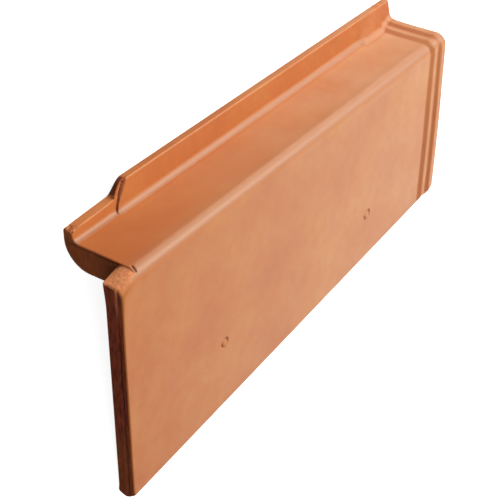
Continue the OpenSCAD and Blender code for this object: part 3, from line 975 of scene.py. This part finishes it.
# Painted shade: the bottoms of the seam, the crevices and the notch are painted nearly black
cut_and_shade_tone = add(tree, "ShaderNodeMix", {0: masks["deep"], 6: cut_and_shade_tone, 7: linear("#260804")},
               data_type="RGBA").outputs[2]
tone = skin_tone
for share, over in (
        # A redder tone painted on the flange and rib for the warm light bounced between them, and on the
        # band risers
        (masks["redder_bounce"], linear("#C64F20")),
        (blotch_share, linear("#BE5D33")),
        # Painted sheen: a pale tone for the shine at a low angle, stronger towards the banded end
        (painted_sheen_share, linear("#E0B087")),
        # Painted highlight tint: a duller, pinker tone where the gleam's highlight falls on the ridge and
        # in the hollow, where the skin is also burnished smoother
        (masks["burnish_and_highlight"], linear("#B0704E")),
        # Cut faces are darker and redder, partly their own colour and partly painted shade, and this tone
        # paints shade on the rib and nail marks; the trimmed facet is open and pale, and that tone paints
        # light on rim, ledge and risers
        (masks["cut"], cut_and_shade_tone),
        (masks["trimmed"], open_and_lit_tone),
        (speck_share, linear("#9C4A28"))):
    tone = add(tree, "ShaderNodeMix", {0: share, 6: tone, 7: over}, data_type="RGBA").outputs[2]
print("clay has", len(tree.nodes), "nodes so far")

# %% Clay, its shine and relief
# Fired clay has an IOR of about 1.55 and, unglazed, a roughness of 0.6 to 0.9. The pressed skin is
# smoother than that, so matching its soft shine gave 1.6 and about half; torn clay stays at 0.85
CLAY_IOR = 1.6
SKIN_ROUGH, SKIN_ROUGHER, BURNISHED_ROUGH, TORN_ROUGH = 0.45, 0.53, 0.46, 0.85
GRAIN_STRENGTH, GRAIN_DEPTH, TORN_DEPTH = 0.3, 0.2 * MM, 0.6 * MM
open_clay = add(tree, "ShaderNodeMath", {0: masks["cut"], 1: masks["trimmed"]},
                operation="MAXIMUM").outputs[0]
roughness = add(tree, "ShaderNodeMapRange",
                {"Value": blotch, 1: 0.3, 2: 0.7, 3: SKIN_ROUGH, 4: SKIN_ROUGHER}).outputs[0]
for share, over in ((masks["burnish_and_highlight"], BURNISHED_ROUGH), (open_clay, TORN_ROUGH)):
    roughness = add(tree, "ShaderNodeMix", {0: share, 2: roughness, 3: over}, data_type="FLOAT").outputs[0]
grain = add(tree, "ShaderNodeBump",
            {"Height": grit, "Strength": GRAIN_STRENGTH, "Distance": GRAIN_DEPTH}).outputs["Normal"]
torn = add(tree, "ShaderNodeBump", {"Height": torn_clay, "Strength": open_clay, "Distance": TORN_DEPTH,
                                    "Normal": grain}).outputs["Normal"]
# A faintly warm tint on the shine, matched
SHINE_TINT = linear("#FFF2D0")
shader = add(tree, "ShaderNodeBsdfPrincipled", {"Base Color": tone, "Roughness": roughness, "IOR": CLAY_IOR,
                                                "Specular Tint": SHINE_TINT, "Normal": torn})
tree.links.new(shader.outputs["BSDF"], clay_out.inputs["Surface"])
mesh.materials.append(clay)
print("material:", clay.name, "with", len(tree.nodes), "nodes")

# %% [markdown]
# ## Floor and light
# The tile lies on a plain white floor. To the camera the floor is white and keeps a soft shadow;
# for the light that goes round it counts as grey, so that the end faces stay as dark as they
# should. The clay is too matt to mirror anything, so its broad shine sees the grey floor as well.
# Six soft lamps light the tile: a main light over the rib's side, one behind the banded end that
# gleams along the ridge and the hollow, a weak one over the flap, one beside the flange, a low
# panel beyond the banded end that gives the flap its sheen, and a fill in front of the plain end.

# %% Floor
FLOOR_HALF = 6.0
FLOOR_GLOW = 0.85
corners = [(sx * FLOOR_HALF, sy * FLOOR_HALF, 0) for sx, sy in ((-1, -1), (1, -1), (1, 1), (-1, 1))]
floor_mesh = bpy.data.meshes.new("floor")
floor_mesh.from_pydata(corners, [], [(0, 1, 2, 3)])
floor = bpy.data.objects.new("floor", floor_mesh)
bpy.context.scene.collection.objects.link(floor)
# A white painted floor is even and matt, so that only the soft shadow shows on it
white, white_out = new_material("white floor")
tree = white.node_tree
rays = add(tree, "ShaderNodeLightPath").outputs
seen = add(tree, "ShaderNodeMath", {0: rays["Is Camera Ray"], 1: rays["Is Transmission Ray"]},
           operation="MAXIMUM").outputs[0]
paper = add(tree, "ShaderNodeBsdfDiffuse", {"Color": linear("#F4F4F4")}).outputs[0]
glow = add(tree, "ShaderNodeEmission", {"Color": linear("#FFFFFF"), "Strength": FLOOR_GLOW}).outputs[0]
both = add(tree, "ShaderNodeAddShader", {0: paper, 1: glow}).outputs[0]
grey = add(tree, "ShaderNodeBsdfDiffuse", {"Color": linear("#707070")}).outputs[0]
floor_shader = add(tree, "ShaderNodeMixShader", {0: seen, 1: grey, 2: both}).outputs[0]
tree.links.new(floor_shader, white_out.inputs["Surface"])
floor_mesh.materials.append(white)
print("floor half width, m:", FLOOR_HALF)

# %% Lamps
# Direction from the tile, distance and size in metres, and power in watts
LAMPS = {
    "main light": ((0.42, 0.506, 0.752), 3.0, (1.5, 1.5), 65),
    "gleam on the ridge": ((0.68, 0.30, 0.67), 2.4, (1.5, 1.5), 26),
    "light over the flap": ((0.66, -0.30, 0.69), 2.6, (1.0, 1.5), 8),
    "light beside the flange": ((0.62, 0.75, 0.18), 1.5, (0.9, 0.4), 7),
    "sheen panel": ((0.68, -0.70, 0.26), 2.0, (1.7, 0.7), 10),
    "fill from the plain end": ((-0.75, -0.20, 0.63), 2.0, (1.0, 1.0), 8),
}
for name, (towards, distance, size, power) in LAMPS.items():
    lamp = bpy.data.objects.new(name, bpy.data.lights.new(name, "AREA"))
    lamp.data.shape = "RECTANGLE"
    lamp.data.size, lamp.data.size_y = size
    lamp.data.energy = power
    away = Vector(towards).normalized()
    lamp.location = away * distance
    lamp.rotation_euler = away.to_track_quat("Z", "Y").to_euler()
    bpy.context.scene.collection.objects.link(lamp)
    print(name, power, "W")

# %% World and view
WORLD_LIGHT = 0.10
world = bpy.data.worlds.new("studio")
bpy.context.scene.world = world
world.use_nodes = True
tree = world.node_tree
tree.nodes.clear()
rays = add(tree, "ShaderNodeLightPath").outputs
dim = add(tree, "ShaderNodeBackground", {"Color": linear("#FFFFFF"), "Strength": WORLD_LIGHT}).outputs[0]
bright = add(tree, "ShaderNodeBackground", {"Color": linear("#FFFFFF"), "Strength": 1.0}).outputs[0]
sky = add(tree, "ShaderNodeMixShader", {0: rays["Is Camera Ray"], 1: dim, 2: bright}).outputs[0]
add(tree, "ShaderNodeOutputWorld", {"Surface": sky})
bpy.context.scene.view_settings.view_transform = "Standard"
print("world gives", WORLD_LIGHT, "of a white sky's light")
